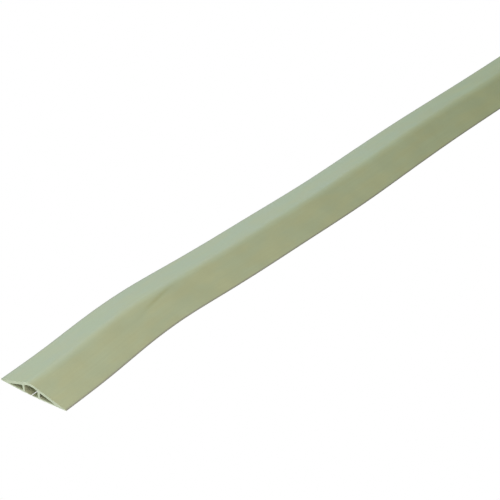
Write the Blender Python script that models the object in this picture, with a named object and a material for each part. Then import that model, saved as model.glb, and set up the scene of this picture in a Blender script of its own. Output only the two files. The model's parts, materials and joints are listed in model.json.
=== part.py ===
"""One metre of flexible floor cable protector, lying in a gentle S on the floor.

The real object is a single soft PVC extrusion: two low ramps, a rounded roof between them, two ribs
that make a cable channel and two side chambers, and a base that is slit along its middle. The two
lips beside the slit fold up or down to let a cable in or out. Everything is made in lengths that
follow the bends: the fixed profile in lengths that stray little to the side, and the lips in shorter
ones, because each needs a straight hinge line.

+X runs along the strip from its front end to its back end, +Y is its left side and +Z is up. The
origin is the centre of the base's bounding box.
"""

import math

import bpy
import numpy as np
from mathutils import Matrix, Vector

MM = 0.001

# Driving dimensions
LENGTH = 1000 * MM
WIDTH = 83 * MM
HEIGHT = 13.4 * MM
RAMP_ANGLE = math.radians(18.3)
TOE_THICKNESS = 0.8 * MM
ROOF_WALL = 2.8 * MM
RAMP_WALL = 3.0 * MM
BASE_THICKNESS = 1.6 * MM
RIB_INNER_Y = 8.2 * MM
RIB_THICKNESS = 2.3 * MM
LIP_THICKNESS = 1.4 * MM
LIP_LIFT = 0.2 * MM
SLIT_WIDTH = 1.0 * MM
LIPS_PER_SIDE = 16
LIP_END_GAP = 0.8 * MM
FIT_GAP = 0.3 * MM
HINGE_GAP = 0.8 * MM

# How far the strip's centre line lies to the left at evenly spaced stations, front end first
SIDEWAYS_MM = (0.0, 3.5, 9.4, 11.4, 7.9, 4.8, 2.8, 0.7, -0.4, 0.3, 1.1, 1.3, 0.5, -0.6, -1.2, -1.3, -1.0)
SIDEWAYS = [mm * MM for mm in SIDEWAYS_MM]

# Where one length of the fixed profile ends and the next begins, as distances from the front end
DIVISIONS_MM = (0, 93.75, 281.25, 437.5, 1000)

# Smoothness
BEND_SPACING = 31.25 * MM
SQUARE_END = 0.5 * MM
ROOF_STEPS = 8
NOSE_STEPS = 5

# Worked out from the dimensions above
HALF_WIDTH = WIDTH / 2
RIB_OUTER_Y = RIB_INNER_Y + RIB_THICKNESS
RAMP_START_Y = RIB_OUTER_Y + FIT_GAP
CROWN_RADIUS = (HALF_WIDTH * math.tan(RAMP_ANGLE) + TOE_THICKNESS - HEIGHT) / (1 / math.cos(RAMP_ANGLE) - 1)
CROWN_CENTRE_Z = HEIGHT - CROWN_RADIUS
HINGE_Y = RIB_INNER_Y + 2 * FIT_GAP - HINGE_GAP - LIP_THICKNESS / 2
HINGE_Z = LIP_LIFT + LIP_THICKNESS / 2

SOFT_PVC = {"colour": (0.385, 0.415, 0.285, 1.0), "roughness": 0.55}
LIP_PVC = {"colour": (0.420, 0.455, 0.325, 1.0), "roughness": 0.60}


def clear_scene():
    for obj in list(bpy.data.objects):
        bpy.data.objects.remove(obj)


def new_collection(name):
    made = bpy.data.collections.new(name)
    bpy.context.scene.collection.children.link(made)
    return made


def principled(name, colour, roughness):
    made = bpy.data.materials.new(name)
    made.use_nodes = True
    shader = made.node_tree.nodes["Principled BSDF"]
    shader.inputs["Base Color"].default_value = colour
    shader.inputs["Roughness"].default_value = roughness
    shader.inputs["Metallic"].default_value = 0.0
    return made


# The route on the floor


def curvatures(values, step):
    """Second derivatives at the stations of the natural cubic spline through values."""
    inner = len(values) - 2
    matrix = 4 * np.eye(inner) + np.eye(inner, k=1) + np.eye(inner, k=-1)
    return [0.0, *np.linalg.solve(matrix, 6 * np.diff(values, 2) / step**2), 0.0]


STATION_STEP = LENGTH / (len(SIDEWAYS) - 1)
CURVATURES = curvatures(SIDEWAYS, STATION_STEP)


def sideways(along):
    """The centre line's distance to the left, a given way along the strip from its front end."""
    station = min(int(along / STATION_STEP), len(SIDEWAYS) - 2)
    after = along / STATION_STEP - station
    before = 1 - after
    straight = before * SIDEWAYS[station] + after * SIDEWAYS[station + 1]
    bow = (before**3 - before) * CURVATURES[station] + (after**3 - after) * CURVATURES[station + 1]
    return straight + bow * STATION_STEP**2 / 6


def outline_middle():
    """Centre of the bounding box of the strip's outline on the floor."""
    along = np.linspace(0, LENGTH, 401)
    across = np.array([sideways(x) for x in along])
    slope = np.gradient(across, along)
    reach = HALF_WIDTH / np.hypot(1, slope)
    edges_x = np.concatenate((along - slope * reach, along + slope * reach))
    edges_y = np.concatenate((across + reach, across - reach))
    return Vector(((edges_x.min() + edges_x.max()) / 2, (edges_y.min() + edges_y.max()) / 2, 0.0))


OUTLINE_MIDDLE = outline_middle()


def on_route(along):
    return Vector((along, sideways(along), 0.0)) - OUTLINE_MIDDLE


def route(start, end):
    """Points along the strip, with a very short run at each end so that the end is cut square to the strip."""
    bends = round((end - start) / BEND_SPACING)
    between = [start + (end - start) * i / bends for i in range(1, bends)]
    return [on_route(along) for along in (start, start + SQUARE_END, *between, end - SQUARE_END, end)]


# Cross-section outlines: points (y, z), anticlockwise seen from the back end


def top_height(y, depth=0.0):
    """Height at y of the surface that lies depth below the strip's top surface."""
    radius = CROWN_RADIUS - depth
    if abs(y) < radius * math.sin(RAMP_ANGLE):
        return CROWN_CENTRE_Z + math.sqrt(radius**2 - y**2)
    return CROWN_CENTRE_Z + radius / math.cos(RAMP_ANGLE) - abs(y) * math.tan(RAMP_ANGLE)


def chamber_tip_y():
    """Where a side chamber's sloping ceiling comes down to the base's upper side."""
    radius = CROWN_RADIUS - RAMP_WALL
    drop = CROWN_CENTRE_Z + radius / math.cos(RAMP_ANGLE) - BASE_THICKNESS
    return drop / math.tan(RAMP_ANGLE)


def roof_outline():
    ys = np.linspace(RIB_OUTER_Y, -RIB_OUTER_Y, ROOF_STEPS + 1)
    upper = [(y, top_height(y)) for y in ys]
    lower = [(y, top_height(y, ROOF_WALL)) for y in ys[::-1]]
    return upper + lower


def ramp_outline():
    tip_y = chamber_tip_y()
    return [
        (tip_y, 0.0),
        (HALF_WIDTH, 0.0),
        (HALF_WIDTH, TOE_THICKNESS),
        (RAMP_START_Y, top_height(RAMP_START_Y)),
        (RAMP_START_Y, top_height(RAMP_START_Y, RAMP_WALL)),
        (tip_y, BASE_THICKNESS),
    ]


def rib_outline():
    foot = BASE_THICKNESS + FIT_GAP
    return [
        (RIB_INNER_Y, foot),
        (RIB_OUTER_Y, foot),
        (RIB_OUTER_Y, top_height(RIB_OUTER_Y, ROOF_WALL) - FIT_GAP),
        (RIB_INNER_Y, top_height(RIB_INNER_Y, ROOF_WALL) - FIT_GAP),
    ]


def base_outline():
    inner_y = RIB_INNER_Y + 2 * FIT_GAP
    outer_y = chamber_tip_y() - FIT_GAP
    return [(inner_y, 0.0), (outer_y, 0.0), (outer_y, BASE_THICKNESS), (inner_y, BASE_THICKNESS)]


def lip_outline():
    """A flat tongue that reaches to the slit, with a half-round nose about its hinge axis at height 0."""
    radius = LIP_THICKNESS / 2
    turns = [math.pi * (i / NOSE_STEPS - 0.5) for i in range(NOSE_STEPS + 1)]
    nose = [(HINGE_Y + radius * math.cos(turn), radius * math.sin(turn)) for turn in turns]
    return [(SLIT_WIDTH / 2, -radius), *nose, (SLIT_WIDTH / 2, radius)]


def mirrored(outline):
    return [(-y, z) for y, z in reversed(outline)]


# Solids


def line_curve(name, points, collection, closed=False):
    """A curve object with one straight-sided spline through the points."""
    data = bpy.data.curves.new(name, "CURVE")
    data.dimensions = "2D"
    spline = data.splines.new("POLY")
    spline.points.add(len(points) - 1)
    for place, point in zip(spline.points, points):
        place.co = (*point[:2], 0.0, 1.0)
    spline.use_cyclic_u = closed
    obj = bpy.data.objects.new(name, data)
    collection.objects.link(obj)
    return obj


def extrusion(name, outline, points, material):
    """A solid with this cross-section, swept through the points with square-cut ends."""
    section = line_curve(name + "_section", [(-y, z) for y, z in outline], guides, closed=True)
    section.hide_render = True
    section.display_type = "WIRE"
    solid = line_curve(name, points, parts)
    solid.data.bevel_mode = "OBJECT"
    solid.data.bevel_object = section
    solid.data.use_fill_caps = True
    solid.data.materials.append(material)
    return solid


def fixed_profile(material):
    """Every part of the section that keeps its place, one length after another from the front end."""
    divisions = [mm * MM for mm in DIVISIONS_MM]
    for number, (start, end) in enumerate(zip(divisions, divisions[1:]), 1):
        points = route(start + FIT_GAP if number > 1 else start, end)
        extrusion(f"roof_{number}", roof_outline(), points, material)
        for part, outline in (("ramp", ramp_outline()), ("rib", rib_outline()), ("base", base_outline())):
            extrusion(f"left_{part}_{number}", outline, points, material)
            extrusion(f"right_{part}_{number}", mirrored(outline), points, material)


def hinge_matrix(points, sign):
    """Places +X along a lip's hinge line, which stands midway between the chord and the bow of its points."""
    chord = points[-1] - points[0]
    middle = ((points[0] + points[-1]) / 2 + points[len(points) // 2]) / 2
    outward = sign * Vector((-chord.y, chord.x, 0.0)).normalized()
    place = middle + HINGE_Y * outward + Vector((0.0, 0.0, HINGE_Z))
    turn = Matrix.Rotation(math.atan2(chord.y, chord.x), 4, "Z")
    return Matrix.Translation(place) @ turn


def lips(side, sign, outline, material):
    """One side's slit lip, in lengths that each turn about their own straight hinge line."""
    step = LENGTH / LIPS_PER_SIDE
    for number in range(LIPS_PER_SIDE):
        points = route(step * number + LIP_END_GAP / 2, step * (number + 1) - LIP_END_GAP / 2)
        hinge = hinge_matrix(points, sign)
        turned = [hinge.inverted() @ point for point in points]
        lip = extrusion(f"{side}_lip_{number + 1:02d}", outline, turned, material)
        lip.matrix_world = hinge


clear_scene()
parts = new_collection("cable_protector")
guides = new_collection("guides")
fixed_profile(principled("soft_pvc", **SOFT_PVC))
lip_material = principled("lip_pvc", **LIP_PVC)
lips("left", 1, lip_outline(), lip_material)
lips("right", -1, mirrored(lip_outline()), lip_material)
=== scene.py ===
"""Looks of the soft floor cable protector: one seamless profile, its slit lips, and the studio."""

import json
import math

import bmesh
import bpy
import numpy as np
from mathutils import Matrix, Vector


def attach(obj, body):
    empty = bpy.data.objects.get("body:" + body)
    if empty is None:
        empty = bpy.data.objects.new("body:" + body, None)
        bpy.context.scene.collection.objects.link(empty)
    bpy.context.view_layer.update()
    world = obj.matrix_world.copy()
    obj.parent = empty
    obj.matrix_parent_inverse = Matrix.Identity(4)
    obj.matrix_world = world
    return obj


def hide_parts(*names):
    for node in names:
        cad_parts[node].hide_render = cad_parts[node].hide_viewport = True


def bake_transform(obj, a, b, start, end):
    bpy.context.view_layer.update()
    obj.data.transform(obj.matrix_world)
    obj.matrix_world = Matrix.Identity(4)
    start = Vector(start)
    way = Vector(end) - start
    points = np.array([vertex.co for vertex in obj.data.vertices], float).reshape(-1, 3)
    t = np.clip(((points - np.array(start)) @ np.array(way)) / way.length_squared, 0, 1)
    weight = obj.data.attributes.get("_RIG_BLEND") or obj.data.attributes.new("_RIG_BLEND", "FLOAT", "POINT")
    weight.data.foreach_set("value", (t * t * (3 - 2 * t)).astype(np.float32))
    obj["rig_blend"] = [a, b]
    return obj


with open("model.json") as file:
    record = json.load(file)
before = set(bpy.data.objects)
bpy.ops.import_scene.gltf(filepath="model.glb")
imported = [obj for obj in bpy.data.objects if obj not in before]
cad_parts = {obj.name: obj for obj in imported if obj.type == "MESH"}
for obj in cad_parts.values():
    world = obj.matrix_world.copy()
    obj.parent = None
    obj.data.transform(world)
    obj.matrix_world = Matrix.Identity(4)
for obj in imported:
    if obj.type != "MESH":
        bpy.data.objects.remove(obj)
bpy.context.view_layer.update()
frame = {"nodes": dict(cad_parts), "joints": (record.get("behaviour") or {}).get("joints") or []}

MM = 0.001

# The profile and its route, as in the CAD
LENGTH = 1000 * MM
WIDTH = 83 * MM
HEIGHT = 13.4 * MM
RAMP_ANGLE = math.radians(18.3)
TOE_THICKNESS = 0.8 * MM
ROOF_WALL = 2.8 * MM
RAMP_WALL = 3.0 * MM
BASE_THICKNESS = 1.6 * MM
RIB_INNER_Y = 8.2 * MM
RIB_THICKNESS = 2.3 * MM
SLIT_WIDTH = 1.0 * MM
LIPS_PER_SIDE = 16
FIT_GAP = 0.3 * MM
HINGE_Y = 7.3 * MM
SIDEWAYS_MM = (0.0, 3.5, 9.4, 11.4, 7.9, 4.8, 2.8, 0.7, -0.4, 0.3, 1.1, 1.3, 0.5, -0.6, -1.2, -1.3, -1.0)
SIDEWAYS = np.array(SIDEWAYS_MM) * MM

HALF_WIDTH = WIDTH / 2
RIB_OUTER_Y = RIB_INNER_Y + RIB_THICKNESS
TAN = math.tan(RAMP_ANGLE)
CROWN_RADIUS = (HALF_WIDTH * TAN + TOE_THICKNESS - HEIGHT) / (1 / math.cos(RAMP_ANGLE) - 1)
CROWN_CENTRE_Z = HEIGHT - CROWN_RADIUS
STATION_STEP = LENGTH / (len(SIDEWAYS) - 1)

# Softness that the CAD leaves out
CUT_BOW = 1.5 * MM
CUT_BOW_REACH = 6 * MM
CREASE_X = 180 * MM
CREASE_Y = -8.0 * MM
CREASE_SLANT = 0.15
CREASE_HALF_LENGTH = 26 * MM
CREASE_HALF_WIDTH = 1.9 * MM
CREASE_DEPTH = 0.32 * MM
LEAN_AT_CUT = 0.5 * MM
LEAN_REACH = 70 * MM
LEAN_BEYOND = -0.4 * MM
LEAN_HALF_WIDTH = 24 * MM
CROWN_TIPS = ((90 * MM, 100 * MM, 1.7 * MM), (500 * MM, 70 * MM, 0.6 * MM))
RIPPLES = ((0.10 * MM, 21.0, 0.0, 0.6), (0.08 * MM, 47.0, 60.0, 2.1))
RIPPLE_HALF_WIDTH = 30 * MM
# Painted shade: the toes are darkened from here out to their edges
EDGE_SHADE_FROM_Y = HALF_WIDTH - 2.2 * MM
LIP_LOWER_Z = 0.15 * MM
LIP_UPPER_Z = 1.55 * MM
LIP_EDGE_Z = 0.6 * MM
LIP_TAPER = 1.3
LIP_ROOT_OVERLAP = 0.2 * MM
LIP_END_GAP = 0.1 * MM
LIP_FOLD_WIDTH = 2.5 * MM

# Mesh density
STATIONS = 420
LIP_STATIONS = 26
SHARP_ANGLE = math.radians(35)
OUTSIDE, CUT, HOLLOW = range(3)

# Looks
SKIN_COLOUR = (0.410, 0.455, 0.270)
CUT_COLOUR = (0.660, 0.715, 0.545)
# Painted shade along the toe edges
EDGE_SHADE_COLOUR = (0.270, 0.262, 0.205)
SKIN_CAST = (1.050, 0.995, 0.930)
# Painted shade in the crease
CREASE_SHADE_TONE = (0.890, 0.880, 0.810)
# Painted shade: how much darker the walls of the channel and the chambers are
HOLLOW_SHADE_TONE = 0.58

# Studio. Each area light is its name, place, target, size, power and colour
LIGHTS = (
    ("left_cool", (0.4, 1.6, 0.75), (0.4, 0.0, 0.0), (3.0, 0.8), 33.0, (0.57, 0.68, 0.96)),
    ("front_fill", (-1.0, -0.9, 0.9), (-0.45, 0.0, 0.0), (0.8, 0.8), 13.8, (0.90, 0.78, 1.0)),
    ("front_low", (-1.5, 0.1, 0.25), (-0.5, 0.0, 0.0), (0.5, 0.3), 3.4, (0.88, 1.0, 0.84)),
)
SKY_COLOUR = (0.92, 1.0, 0.76)
SKY_STRENGTH = 0.418
FLOOR_SIZE = 16.0
FLOOR_DROP = 0.4 * MM
FLOOR_GREY = 0.22
CAMERA_FROM_FRONT_END = Vector((-0.7170, -0.8178, 0.8198))
CAMERA_AZIMUTH = math.radians(38.02)
CAMERA_PITCH = math.radians(-31.72)
CAMERA_LENS = 103.3


# The route on the floor


def curvatures(values, step):
    """Second derivatives at the stations of the natural cubic spline through values."""
    inner = len(values) - 2
    matrix = 4 * np.eye(inner) + np.eye(inner, k=1) + np.eye(inner, k=-1)
    return np.array([0.0, *np.linalg.solve(matrix, 6 * np.diff(values, 2) / step**2), 0.0])


CURVATURES = curvatures(SIDEWAYS, STATION_STEP)


def sideways(along):
    """How far the centre line lies to the left at these distances from the front end."""
    station = np.clip((along / STATION_STEP).astype(int), 0, len(SIDEWAYS) - 2)
    after = along / STATION_STEP - station
    before = 1 - after
    straight = before * SIDEWAYS[station] + after * SIDEWAYS[station + 1]
    bow = (before**3 - before) * CURVATURES[station] + (after**3 - after) * CURVATURES[station + 1]
    return straight + bow * STATION_STEP**2 / 6


def outline_middle():
    """Centre of the bounding box of the strip's outline on the floor."""
    along = np.linspace(0, LENGTH, 401)
    across = sideways(along)
    slope = np.gradient(across, along)
    reach = HALF_WIDTH / np.hypot(1, slope)
    edges_x = np.concatenate((along - slope * reach, along + slope * reach))
    edges_y = np.concatenate((across + reach, across - reach))
    return (edges_x.min() + edges_x.max()) / 2, (edges_y.min() + edges_y.max()) / 2


MIDDLE_X, MIDDLE_Y = outline_middle()


def on_strip(along, across, height):
    """World points from distances along the strip, to its left, and up."""
    nearby = 0.05 * MM
    inside = np.clip(along, nearby, LENGTH - nearby)
    slope = (sideways(inside + nearby) - sideways(inside - nearby)) / (2 * nearby)
    size = np.hypot(1, slope)
    x = along - MIDDLE_X - across * slope / size
    y = sideways(along) - MIDDLE_Y + across / size
    return np.stack((x, y, height), axis=-1)


# Cross-section outlines. A corner is (y, z, radius) and a point is (y, z)


def top_height(y, depth=0.0):
    """Height at y of the surface that lies depth below the strip's top surface."""
    radius = CROWN_RADIUS - depth
    if abs(y) < radius * math.sin(RAMP_ANGLE):
        return CROWN_CENTRE_Z + math.sqrt(radius**2 - y**2)
    return CROWN_CENTRE_Z + radius / math.cos(RAMP_ANGLE) - abs(y) * TAN


def rounded(corners, steps=5):
    """The points of a closed outline whose corners are each rounded off by their radius."""
    points = []
    for i, (y, z, radius) in enumerate(corners):
        here = Vector((y, z))
        if radius == 0:
            points.append(tuple(here))
            continue
        back = (Vector(corners[i - 1][:2]) - here).normalized()
        on = (Vector(corners[(i + 1) % len(corners)][:2]) - here).normalized()
        half = back.angle(on) / 2
        centre = here + (back + on).normalized() * (radius / math.sin(half))
        start = here + back * (radius / math.tan(half)) - centre
        end = here + on * (radius / math.tan(half)) - centre
        turn = start.angle_signed(end)
        for k in range(steps + 1):
            arm = start.copy()
            arm.rotate(Matrix.Rotation(-turn * k / steps, 2))
            points.append(tuple(centre + arm))
    return points


def flipped(corners):
    """The same corners on the other side of the middle, in reverse order."""
    return [(-y, z, radius) for y, z, radius in reversed(corners)]


def mirrored(points):
    return [(-y, z) for y, z in reversed(points)]


def top_corners():
    """Left toe, left ramp, crown, right ramp and right toe, closer together towards the crown."""
    crown_y = CROWN_RADIUS * math.sin(RAMP_ANGLE)
    foot_y, bend_y = HALF_WIDTH - 2 * MM, 16 * MM
    ramp_ys = [*np.linspace(foot_y, bend_y, 11)[:-1], *np.linspace(bend_y, crown_y, 14)]
    left = [(HALF_WIDTH, 0.0, 0.25 * MM), (HALF_WIDTH, TOE_THICKNESS, 0.35 * MM)]
    left += [(y, top_height(y), 0) for y in ramp_ys]
    crown = [(y, top_height(y), 0) for y in np.linspace(crown_y, -crown_y, 19)[1:-1]]
    return left + crown + flipped(left)


def channel_corners():
    """The cable channel, which is open below between the ribs."""
    arch_y = (CROWN_RADIUS - ROOF_WALL) * math.sin(RAMP_ANGLE)
    ceiling = top_height(RIB_INNER_Y, ROOF_WALL)
    right = [(-RIB_INNER_Y, 0.0, 0.2 * MM), (-RIB_INNER_Y, ceiling, 0.9 * MM)]
    arch = [(y, top_height(y, ROOF_WALL), 0) for y in np.linspace(-arch_y, arch_y, 11)]
    return right + arch + flipped(right)


def chamber_corners():
    """The left side chamber."""
    radius = CROWN_RADIUS - RAMP_WALL
    apex = (CROWN_CENTRE_Z + radius / math.cos(RAMP_ANGLE) - BASE_THICKNESS) / TAN
    inner = RIB_OUTER_Y + FIT_GAP
    return [
        (inner, BASE_THICKNESS, 1.1 * MM),
        (inner, top_height(inner, RAMP_WALL), 1.2 * MM),
        (apex, BASE_THICKNESS, 0.35 * MM),
    ]


def lip_corners():
    """The left lip: nearly as thick as the base at the rib's foot, and thinner towards the slit."""
    inner, outer = SLIT_WIDTH / 2, RIB_INNER_Y + LIP_ROOT_OVERLAP
    round_edge = 0.15 * MM
    between = np.linspace(outer, inner, 16)[1:-1]
    below = [(y, LIP_LOWER_Z, 0) for y in between]
    edge = [(inner, LIP_LOWER_Z, round_edge), (inner, LIP_EDGE_Z, round_edge)]
    above = []
    for y in between[::-1]:
        share = ((y - inner) / (outer - inner)) ** LIP_TAPER
        above.append((y, LIP_EDGE_Z + (LIP_UPPER_Z - LIP_EDGE_Z) * share, 0))
    return [(outer, LIP_LOWER_Z, 0), *below, *edge, *above, (outer, LIP_UPPER_Z, 0)]


def in_hollow(y, z):
    """Whether a point of a section's outline is on a wall or ceiling of the channel or of a chamber."""
    return BASE_THICKNESS + FIT_GAP < z < top_height(y) - 0.8 * ROOF_WALL


# How the soft strip lies


def bell(offset, half_width, power=2):
    """1 at no offset, falling smoothly towards 0 beyond the half width. A higher power is flatter on top."""
    return np.exp(-((offset / half_width) ** power))


def crease(along, across):
    """The faint kink beside the crown where the strip bends hardest: 1 at its deepest, 0 away from it."""
    centre = CREASE_Y + (along - CREASE_X) * CREASE_SLANT
    return bell(along - CREASE_X, CREASE_HALF_LENGTH) * bell(across - centre, CREASE_HALF_WIDTH)


def sag(along, across):
    """How far the top surface stands above the true profile, or below it.

    Each ripple is its height, its turn in radians for each metre along and across, and its phase.
    """
    ripples = sum(
        size * np.sin(along * turn_along + across * turn_across + phase)
        for size, turn_along, turn_across, phase in RIPPLES
    )
    return ripples * bell(across, RIPPLE_HALF_WIDTH, 4) - CREASE_DEPTH * crease(along, across)


def lean(along):
    """How far the middle of the section leans to the left at the front end, and to the right beyond it."""
    return LEAN_BEYOND + (LEAN_AT_CUT - LEAN_BEYOND) * np.exp(-along / LEAN_REACH)


def crown_tip(along):
    """How much further to the left the crown leans than the section's foot.

    Each tip is its place along the strip, how far it reaches and its size.
    """
    return sum(size * bell(along - place, reach) for place, reach, size in CROWN_TIPS)


def leaning(along, across, height):
    """How far a point leans to the left: fully between the ribs, and not at all at the toes."""
    tipped = crown_tip(along) * np.clip(height / HEIGHT, 0, 1) ** 3
    return (lean(along) + tipped) * bell(across, LEAN_HALF_WIDTH, 4)


def bowed(along, across):
    """Distances along the strip, once its front end has bulged a little in the middle under the blade."""
    return along - CUT_BOW * bell(along, CUT_BOW_REACH) * (1 - (across / HALF_WIDTH) ** 2)


def as_it_lies(along, across, height):
    """World points of the bowed, leaning and uneven strip."""
    lift = np.clip(height / HEIGHT, 0, 1) * sag(along, across)
    return on_strip(bowed(along, across), across + leaning(along, across, height), height + lift)


def painted_edge_shade(across):
    """Painted shade along the toe edges: 0 over most of the section, rising to 1 at the very edge of a toe.
    """
    return np.clip((abs(across) - EDGE_SHADE_FROM_Y) / (HALF_WIDTH - EDGE_SHADE_FROM_Y), 0, 1)


def crease_painted_shade(along, across, height):
    """Painted shade in the crease where it shows: on the top surface only, fading in above 65% of the
    height.
    """
    return crease(along, across) * np.clip((height / HEIGHT - 0.65) / 0.10, 0, 1)


# Sweeping an outline along the strip


def add_rings(bm, section, along):
    """A ring of vertices at each station, marked where painted shade darkens the toe edges and the crease.
    """
    ring_x = np.tile(along[:, None], (1, len(section)))
    ring_y = np.tile(section[:, 0], (len(along), 1))
    ring_z = np.tile(section[:, 1], (len(along), 1))
    rings = [[bm.verts.new(place) for place in ring] for ring in as_it_lies(ring_x, ring_y, ring_z)]
    marks = {"edge_shaded": painted_edge_shade(ring_y), "crease_shaded": crease_painted_shade(ring_x, ring_y, ring_z)}
    for name, values in marks.items():
        layer = bm.verts.layers.float[name]
        for ring, row in zip(rings, values):
            for vert, value in zip(ring, row):
                vert[layer] = value
    return rings


def add_sides(bm, uv, section, along, rings):
    """The faces between the rings. Their UVs are the distances along the strip and round the section."""
    gaps = np.linalg.norm(section - np.roll(section, 1, axis=0), axis=1)
    ends = np.cumsum(gaps)
    starts = ends - gaps
    hollow = [in_hollow(*point) for point in section]
    for i in range(len(along) - 1):
        for k in range(len(section)):
            face = bm.faces.new((rings[i][k - 1], rings[i][k], rings[i + 1][k], rings[i + 1][k - 1]))
            face.smooth = True
            # The walls of the hollows get the skin darkened as painted shade
            face.material_index = HOLLOW if hollow[k - 1] and hollow[k] else OUTSIDE
            corners = ((i, starts[k]), (i, ends[k]), (i + 1, ends[k]), (i + 1, starts[k]))
            for corner, (station, reached) in zip(face.loops, corners):
                corner[uv].uv = (along[station], reached)


def add_cap(bm, uv, rings):
    """The cut face inside the first ring and round the others."""
    edges = [bm.edges.get((ring[k - 1], ring[k])) for ring in rings for k in range(len(ring))]
    filled = bmesh.ops.triangle_fill(bm, edges=edges, use_dissolve=False, use_beauty=True)["geom"]
    for face in filled:
        if isinstance(face, bmesh.types.BMFace):
            face.material_index = CUT
            face.smooth = False
            for corner in face.loops:
                corner[uv].uv = (corner.vert.co.y, corner.vert.co.z)


def sweep(name, outlines, along, materials):
    """A closed mesh: the section's outlines swept through the stations, and both ends capped.

    The materials are for the outside, the cut ends and the walls of the hollows, darkened as painted shade,
    if it has any.
    """
    bm = bmesh.new()
    uv = bm.loops.layers.uv.new("strip")
    bm.verts.layers.float.new("edge_shaded")
    bm.verts.layers.float.new("crease_shaded")
    swept = []
    for outline in outlines:
        section = np.array(outline)
        rings = add_rings(bm, section, along)
        add_sides(bm, uv, section, along, rings)
        swept.append(rings)
    for end in (0, -1):
        add_cap(bm, uv, [rings[end] for rings in swept])
    bmesh.ops.recalc_face_normals(bm, faces=bm.faces)
    mesh = bpy.data.meshes.new(name)
    bm.to_mesh(mesh)
    bm.free()
    for material in materials:
        mesh.materials.append(material)
    mesh.set_sharp_from_angle(angle=SHARP_ANGLE)
    piece = bpy.data.objects.new(name, mesh)
    bpy.context.scene.collection.objects.link(piece)
    return piece


# Materials


class Shader:
    """A material's node tree, with a call for each kind of node used here."""

    def __init__(self, name):
        self.material = bpy.data.materials.new(name)
        self.material.use_nodes = True
        self.tree = self.material.node_tree
        self.surface = self.tree.nodes["Principled BSDF"]

    def node(self, kind, inputs, **settings):
        made = self.tree.nodes.new(kind)
        for key, value in settings.items():
            setattr(made, key, value)
        for key, value in inputs.items():
            self.feed(made.inputs[key], value)
        return made

    def feed(self, socket, value):
        if isinstance(value, bpy.types.NodeSocket):
            self.tree.links.new(value, socket)
        else:
            socket.default_value = value

    def finish(self, **values):
        """Sets or feeds the surface's sockets, whose names are written with underscores."""
        for key, value in values.items():
            self.feed(self.surface.inputs[key.replace("_", " ")], value)

    def attribute(self, name):
        return self.node("ShaderNodeAttribute", {}, attribute_name=name).outputs["Fac"]

    def noise(self, vector, scale, detail, roughness):
        inputs = {"Vector": vector, "Scale": scale, "Detail": detail, "Roughness": roughness}
        return self.node("ShaderNodeTexNoise", inputs).outputs["Fac"]

    def ramp(self, value, old, new):
        """The value, with the old range stretched to the new one and held at its ends."""
        inputs = {"Value": value, "From Min": old[0], "From Max": old[1], "To Min": new[0], "To Max": new[1]}
        return self.node("ShaderNodeMapRange", inputs).outputs["Result"]

    def raised(self, value, grain, share):
        """The value, raised by a share of the grain."""
        inputs = {0: grain, 1: share, 2: value}
        return self.node("ShaderNodeMath", inputs, operation="MULTIPLY_ADD").outputs[0]

    def scaled(self, vector, scale):
        return self.node("ShaderNodeMapping", {"Vector": vector, "Scale": scale}).outputs["Vector"]

    def mix(self, share, first, second, blend="MIX"):
        made = self.tree.nodes.new("ShaderNodeMix")
        made.data_type = "RGBA"
        made.blend_type = blend
        self.feed(made.inputs[0], share)
        for socket, colour in ((made.inputs[6], first), (made.inputs[7], second)):
            self.feed(socket, colour if isinstance(colour, bpy.types.NodeSocket) else (*colour, 1.0))
        return made.outputs[2]

    def bump(self, height, distance, strength, after=None):
        inputs = {"Height": height, "Distance": distance, "Strength": strength}
        if after is not None:
            inputs["Normal"] = after
        return self.node("ShaderNodeBump", inputs).outputs["Normal"]

    def seen_as(self, glow):
        """The camera sees this shader, while the scene's light falls on the surface."""
        rays = self.node("ShaderNodeLightPath", {}).outputs["Is Camera Ray"]
        inputs = {0: rays, 1: self.surface.outputs[0], 2: glow}
        either = self.node("ShaderNodeMixShader", inputs)
        self.feed(self.tree.nodes["Material Output"].inputs["Surface"], either.outputs[0])


def shade(colour, factor):
    return tuple(c * factor for c in colour)


def skin_material(name, colour):
    """Extruded soft PVC: faint mottling, fine lines along the strip, painted shade along the toe edges and
    in the crease, and a dull sheen.
    """
    s = Shader(name)
    place = s.node("ShaderNodeTexCoord", {}).outputs["Object"]
    strip = s.node("ShaderNodeUVMap", {}, uv_map="strip").outputs["UV"]
    blotch = s.noise(place, scale=28.0, detail=4.0, roughness=0.55)
    streak = s.noise(s.scaled(strip, (2.5, 420.0, 1.0)), scale=1.0, detail=4.0, roughness=0.6)
    cast = s.noise(s.scaled(strip, (22.0, 60.0, 1.0)), scale=1.0, detail=2.0, roughness=0.5)
    grain = s.noise(place, scale=1500.0, detail=2.0, roughness=0.5)

    mottled = s.mix(s.ramp(blotch, (0.32, 0.68), (0.0, 1.0)), shade(colour, 0.955), shade(colour, 1.04))
    lined = s.mix(s.ramp(streak, (0.30, 0.70), (0.0, 0.5)), mottled, shade(colour, 0.93))
    tinted = s.mix(s.ramp(cast, (0.38, 0.62), (0.0, 0.8)), lined, SKIN_CAST, "MULTIPLY")
    # Painted shade: darker grey along the toe edges, broken up by the streaks, and darker in the crease
    edge_shade_grain = s.raised(s.attribute("edge_shaded"), streak, share=0.3)
    with_edge_shade = s.mix(s.ramp(edge_shade_grain, (0.35, 1.0), (0.0, 0.85)), tinted, EDGE_SHADE_COLOUR)
    crease_shaded = s.mix(s.attribute("crease_shaded"), with_edge_shade, CREASE_SHADE_TONE, "MULTIPLY")
    sheen = s.ramp(blotch, (0.3, 0.7), (0.50, 0.62))
    lines = s.bump(streak, distance=0.12 * MM, strength=0.6)
    pores = s.bump(grain, distance=0.05 * MM, strength=0.5, after=lines)
    s.finish(Base_Color=crease_shaded, Roughness=sheen, Specular_IOR_Level=0.35, Normal=pores)
    return s.material


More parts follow.
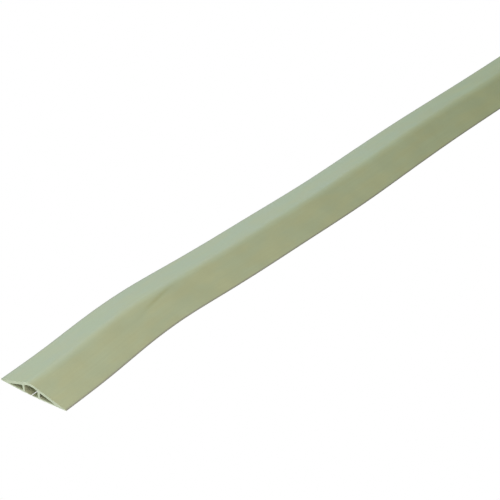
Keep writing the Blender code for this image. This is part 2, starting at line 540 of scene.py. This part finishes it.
def cut_material():
    """The sawn end: paler, matt, with fine saw marks."""
    s = Shader("soft_pvc_cut")
    place = s.node("ShaderNodeTexCoord", {}).outputs["Object"]
    marks = s.noise(s.scaled(place, (300.0, 300.0, 2400.0)), scale=1.0, detail=2.0, roughness=0.5)
    patch = s.noise(place, scale=220.0, detail=3.0, roughness=0.5)
    blend = s.ramp(patch, (0.3, 0.7), (0.0, 1.0))
    patchy = s.mix(blend, shade(CUT_COLOUR, 0.95), shade(CUT_COLOUR, 1.05))
    sawn = s.bump(marks, distance=0.08 * MM, strength=0.5)
    s.finish(Base_Color=patchy, Roughness=0.75, Specular_IOR_Level=0.25, Normal=sawn)
    return s.material


def floor_material():
    """Matt grey to the light in the scene, and white to the camera."""
    s = Shader("studio_floor")
    s.finish(Base_Color=(FLOOR_GREY, FLOOR_GREY, FLOOR_GREY, 1.0), Roughness=1.0, Specular_IOR_Level=0.0)
    s.seen_as(s.node("ShaderNodeEmission", {"Strength": 1.0}).outputs[0])
    return s.material


# The object


def build_profile(skin, cut, hollow):
    """The fixed profile in one piece, which stands for every CAD node but the lips."""
    along = np.linspace(0, LENGTH, STATIONS)
    chamber = rounded(chamber_corners())
    outlines = [rounded(top_corners() + channel_corners()), chamber, mirrored(chamber)]
    piece = sweep("profile", outlines, along, (skin, cut, hollow))
    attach(piece, "profile")
    replaced = [name for name in frame["nodes"] if "_lip_" not in name]
    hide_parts(*replaced)


def blend_at_root(piece, joint, sign, pushed):
    """Bends the lip at its root, which stands outward of its hinge and is pushed sideways by the lean."""
    axis = Vector(joint["axis"]) * -sign
    outward = sign * Vector((-axis.y, axis.x, 0.0)).normalized()
    root = Vector(joint["pos_m"]) + outward * (RIB_INNER_Y - HINGE_Y + sign * pushed)
    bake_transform(piece, "profile", joint["child"], start=root, end=root - outward * LIP_FOLD_WIDTH)


def lip_spans():
    """Where each lip starts and ends along the strip, with a hair's gap between one and the next."""
    divisions = np.linspace(0, LENGTH, LIPS_PER_SIDE + 1)
    starts = [0.0, *(divisions[1:-1] + LIP_END_GAP)]
    ends = [*(divisions[1:-1] - LIP_END_GAP), LENGTH]
    return zip(starts, ends)


def build_lips(skin, cut):
    """Both sides' lips, in the same lengths as the CAD's."""
    joints = {joint["child"]: joint for joint in frame["joints"]}
    left = rounded(lip_corners())
    for side, sign, outline in (("left", 1, left), ("right", -1, mirrored(left))):
        for number, (start, end) in enumerate(lip_spans(), 1):
            name = f"{side}_lip_{number:02d}"
            piece = sweep(name + "_skin", [outline], np.linspace(start, end, LIP_STATIONS), (skin, cut))
            blend_at_root(piece, joints[name], sign, lean((start + end) / 2))
            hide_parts(name)


# The studio


def add_light(name, place, target, size, power, colour):
    data = bpy.data.lights.new(name, "AREA")
    data.shape = "RECTANGLE"
    data.size, data.size_y = size
    data.energy = power
    data.color = colour
    light = bpy.data.objects.new(name, data)
    light.location = place
    light.rotation_euler = (Vector(target) - Vector(place)).to_track_quat("-Z", "Y").to_euler()
    bpy.context.scene.collection.objects.link(light)


def add_background(tree, colour, strength):
    made = tree.nodes.new("ShaderNodeBackground")
    made.inputs["Color"].default_value = (*colour, 1.0)
    made.inputs["Strength"].default_value = strength
    return made.outputs[0]


def light_sky():
    """A soft tinted sky, which the camera sees as plain white."""
    world = bpy.data.worlds.new("studio")
    world.use_nodes = True
    bpy.context.scene.world = world
    tree = world.node_tree
    rays = tree.nodes.new("ShaderNodeLightPath")
    either = tree.nodes.new("ShaderNodeMixShader")
    tree.links.new(rays.outputs["Is Camera Ray"], either.inputs[0])
    tree.links.new(add_background(tree, SKY_COLOUR, SKY_STRENGTH), either.inputs[1])
    tree.links.new(add_background(tree, (1.0, 1.0, 1.0), 1.0), either.inputs[2])
    tree.links.new(either.outputs[0], tree.nodes["World Output"].inputs["Surface"])


def lay_floor():
    bpy.ops.mesh.primitive_plane_add(size=FLOOR_SIZE, location=(0, 0, -FLOOR_DROP))
    floor = bpy.context.object
    floor.name = "floor"
    floor.data.materials.append(floor_material())


def place_camera():
    data = bpy.data.cameras.new("camera")
    data.sensor_width = 36.0
    data.lens = CAMERA_LENS
    eye = bpy.data.objects.new("camera", data)
    ahead = Vector((math.cos(CAMERA_PITCH), 0.0, math.sin(CAMERA_PITCH)))
    ahead.rotate(Matrix.Rotation(CAMERA_AZIMUTH, 3, "Z"))
    eye.location = CAMERA_FROM_FRONT_END - Vector((MIDDLE_X, MIDDLE_Y, 0.0))
    eye.rotation_euler = ahead.to_track_quat("-Z", "Y").to_euler()
    bpy.context.scene.collection.objects.link(eye)
    bpy.context.scene.camera = eye


soft_skin = skin_material("soft_pvc_skin", SKIN_COLOUR)
# The walls of the channel and the chambers: the skin darkened as painted shade
hollow_shade_skin = skin_material("soft_pvc_hollow_shade", shade(SKIN_COLOUR, HOLLOW_SHADE_TONE))
sawn_end = cut_material()
build_profile(soft_skin, sawn_end, hollow_shade_skin)
build_lips(soft_skin, sawn_end)
light_sky()
lay_floor()
for light in LIGHTS:
    add_light(*light)
place_camera()
bpy.context.scene.view_settings.view_transform = "Standard"
